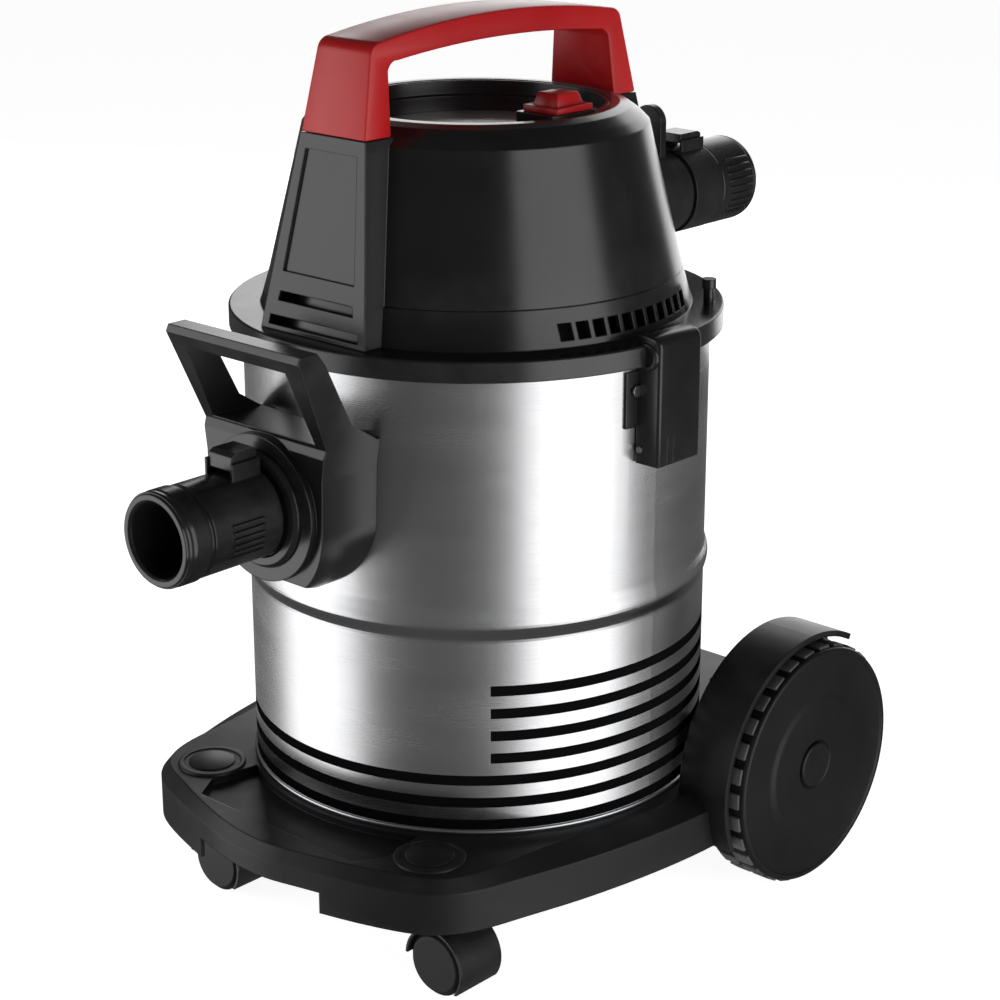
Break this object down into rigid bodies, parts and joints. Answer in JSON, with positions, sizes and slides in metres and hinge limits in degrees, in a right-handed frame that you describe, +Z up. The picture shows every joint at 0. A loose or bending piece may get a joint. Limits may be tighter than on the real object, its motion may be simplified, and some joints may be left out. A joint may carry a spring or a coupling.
{
  "type": "shop vacuum",
  "caption": "Drum shop vacuum on a wheeled dolly, with a lift-off motor head, side latches, red carry handle, front hose inlet and rear blower outlet.",
  "frame": {"origin": "middle of the outer box at floor level", "axes": "+Z up, -Y toward the hose inlet, +X to the right seen from the inlet side"},
  "size_m": [0.4, 0.531, 0.5725],
  "materials": {
    "black_plastic": "glossy moulded black",
    "matte_black_plastic": "satin moulded black",
    "drum_steel": "bright rolled steel with printed black stripes",
    "zinc_steel": "zinc plated",
    "zinc_frame": "pressed steel",
    "red_plastic": "glossy red",
    "silver_plate": "satin silver",
    "rubber": "matt rubber",
    "caster_tyre": "hard tread plastic",
    "white_plastic": "plain",
    "filter_cloth": "pleated cloth",
    "iron": "varnished laminations",
    "copper": "copper bars",
    "carbon": "carbon",
    "foam": "open-cell foam"
  },
  "bodies": {
    "base": {"dolly_deck": "matte_black_plastic", "caster_caps": "matte_black_plastic", "rear_axles": "zinc_steel", "axle_clips": "zinc_steel", "drum_shell": "drum_steel", "drum_screws": "zinc_steel", "latch_brackets": "black_plastic", "latch_rivets": "zinc_steel", "latch_pins": "zinc_steel", "latch_springs": "zinc_steel", "inlet_housing": "black_plastic", "inlet_sleeve": "matte_black_plastic", "lock_ring": "black_plastic", "inlet_deflector": "matte_black_plastic", "inlet_screws": "zinc_steel"},
    "head": {"lid_base": "black_plastic", "lid_seal": "rubber", "motor_cover": "black_plastic", "carry_handle": "red_plastic", "handle_screws": "zinc_steel", "top_bowl": "black_plastic", "top_disc": "silver_plate", "switch_frame": "red_plastic", "float_cage": "matte_black_plastic", "motor_gasket": "rubber", "fan_housing": "silver_plate", "motor_frame": "zinc_frame", "stator": "iron", "motor_bearings": "zinc_steel", "carbon_brushes": "carbon", "silencer_foam": "foam", "cord_gland": "rubber", "outlet_port": "black_plastic"},
    "rotor": {"motor_shaft": "zinc_steel", "armature": "iron", "commutator": "copper", "impeller": "silver_plate"},
    "float": {"float_ball": "white_plastic"},
    "filter": {"filter_cloth": "filter_cloth", "filter_cap": "matte_black_plastic"},
    "switch": {"switch_button": "red_plastic"},
    "hose_cuff": {"hose_cuff": "black_plastic"},
    "hose_button": {"hose_cuff_button": "black_plastic"},
    "outlet_cuff": {"outlet_cuff": "black_plastic"},
    "outlet_collar": {"outlet_collar": "black_plastic"},
    "outlet_button": {"outlet_button": "black_plastic"},
    "caster_left": {"caster_hood_left": "matte_black_plastic", "caster_pins_left": "zinc_steel"},
    "caster_wheel_left_front": {"caster_wheel_left_front": "caster_tyre"},
    "caster_wheel_left_rear": {"caster_wheel_left_rear": "caster_tyre"},
    "rear_wheel_left": {"rear_wheel_left": "matte_black_plastic", "wheel_cap_left": "matte_black_plastic"},
    "latch_left": {"latch_lever_left": "black_plastic"},
    "caster_right": {"caster_hood_right": "matte_black_plastic", "caster_pins_right": "zinc_steel"},
    "caster_wheel_right_front": {"caster_wheel_right_front": "caster_tyre"},
    "caster_wheel_right_rear": {"caster_wheel_right_rear": "caster_tyre"},
    "rear_wheel_right": {"rear_wheel_right": "matte_black_plastic", "wheel_cap_right": "matte_black_plastic"},
    "latch_right": {"latch_lever_right": "black_plastic"}
  },
  "joints": [
    {"name": "head_lift", "type": "slide", "parent": "base", "child": "head", "axis": [0, 0, 1], "range_m": [0, 0.12]},
    {"name": "rotor_spin", "type": "hinge", "parent": "head", "child": "rotor", "pos_m": [0, 0.0065, 0.44], "axis": [0, 0, 1], "continuous": true},
    {"name": "float_rise", "type": "slide", "parent": "head", "child": "float", "axis": [0, 0, 1], "range_m": [0, 0.04]},
    {"name": "filter_pull", "type": "slide", "parent": "head", "child": "filter", "axis": [0, 0, -1], "range_m": [0, 0.1]},
    {"name": "switch_press", "type": "slide", "parent": "head", "child": "switch", "axis": [0, 0, -1], "range_m": [0, 0.0035], "stiffness_N_per_m": 400, "springref_m": -0.002},
    {"name": "hose_cuff_pull", "type": "slide", "parent": "base", "child": "hose_cuff", "axis": [0, -1, 0], "range_m": [0, 0.04]},
    {"name": "hose_button_press", "type": "slide", "parent": "hose_cuff", "child": "hose_button", "axis": [0, 0, -1], "range_m": [0, 0.0025], "stiffness_N_per_m": 400, "springref_m": -0.002},
    {"name": "outlet_cuff_pull", "type": "slide", "parent": "head", "child": "outlet_cuff", "axis": [0, 1, 0], "range_m": [0, 0.04]},
    {"name": "outlet_collar_turn", "type": "hinge", "parent": "outlet_cuff", "child": "outlet_collar", "pos_m": [0, 0.2465, 0.429], "axis": [0, 1, 0], "continuous": true},
    {"name": "outlet_button_press", "type": "slide", "parent": "outlet_cuff", "child": "outlet_button", "axis": [0, 0, -1], "range_m": [0, 0.0025], "stiffness_N_per_m": 400, "springref_m": -0.002},
    {"name": "caster_swivel_left", "type": "hinge", "parent": "base", "child": "caster_left", "pos_m": [-0.1007, -0.1451, 0.05], "axis": [0, 0, 1], "continuous": true},
    {"name": "caster_roll_left_front", "type": "hinge", "parent": "caster_left", "child": "caster_wheel_left_front", "pos_m": [-0.0812, -0.1451, 0.021], "axis": [0, 1, 0], "continuous": true},
    {"name": "caster_roll_left_rear", "type": "hinge", "parent": "caster_left", "child": "caster_wheel_left_rear", "pos_m": [-0.0812, -0.1451, 0.021], "axis": [0, 1, 0], "continuous": true},
    {"name": "rear_roll_left", "type": "hinge", "parent": "base", "child": "rear_wheel_left", "pos_m": [-0.183, 0.1215, 0.082], "axis": [1, 0, 0], "continuous": true},
    {"name": "latch_left_open", "type": "hinge", "parent": "base", "child": "latch_left", "pos_m": [-0.153, 0.0065, 0.323], "axis": [0, -1, 0], "range_deg": [0, 60]},
    {"name": "caster_swivel_right", "type": "hinge", "parent": "base", "child": "caster_right", "pos_m": [0.1007, -0.1451, 0.05], "axis": [0, 0, 1], "continuous": true},
    {"name": "caster_roll_right_front", "type": "hinge", "parent": "caster_right", "child": "caster_wheel_right_front", "pos_m": [0.1202, -0.1451, 0.021], "axis": [0, 1, 0], "continuous": true},
    {"name": "caster_roll_right_rear", "type": "hinge", "parent": "caster_right", "child": "caster_wheel_right_rear", "pos_m": [0.1202, -0.1451, 0.021], "axis": [0, 1, 0], "continuous": true},
    {"name": "rear_roll_right", "type": "hinge", "parent": "base", "child": "rear_wheel_right", "pos_m": [0.183, 0.1215, 0.082], "axis": [1, 0, 0], "continuous": true},
    {"name": "latch_right_open", "type": "hinge", "parent": "base", "child": "latch_right", "pos_m": [0.153, 0.0065, 0.323], "axis": [0, 1, 0], "range_deg": [0, 60]}
  ]
}
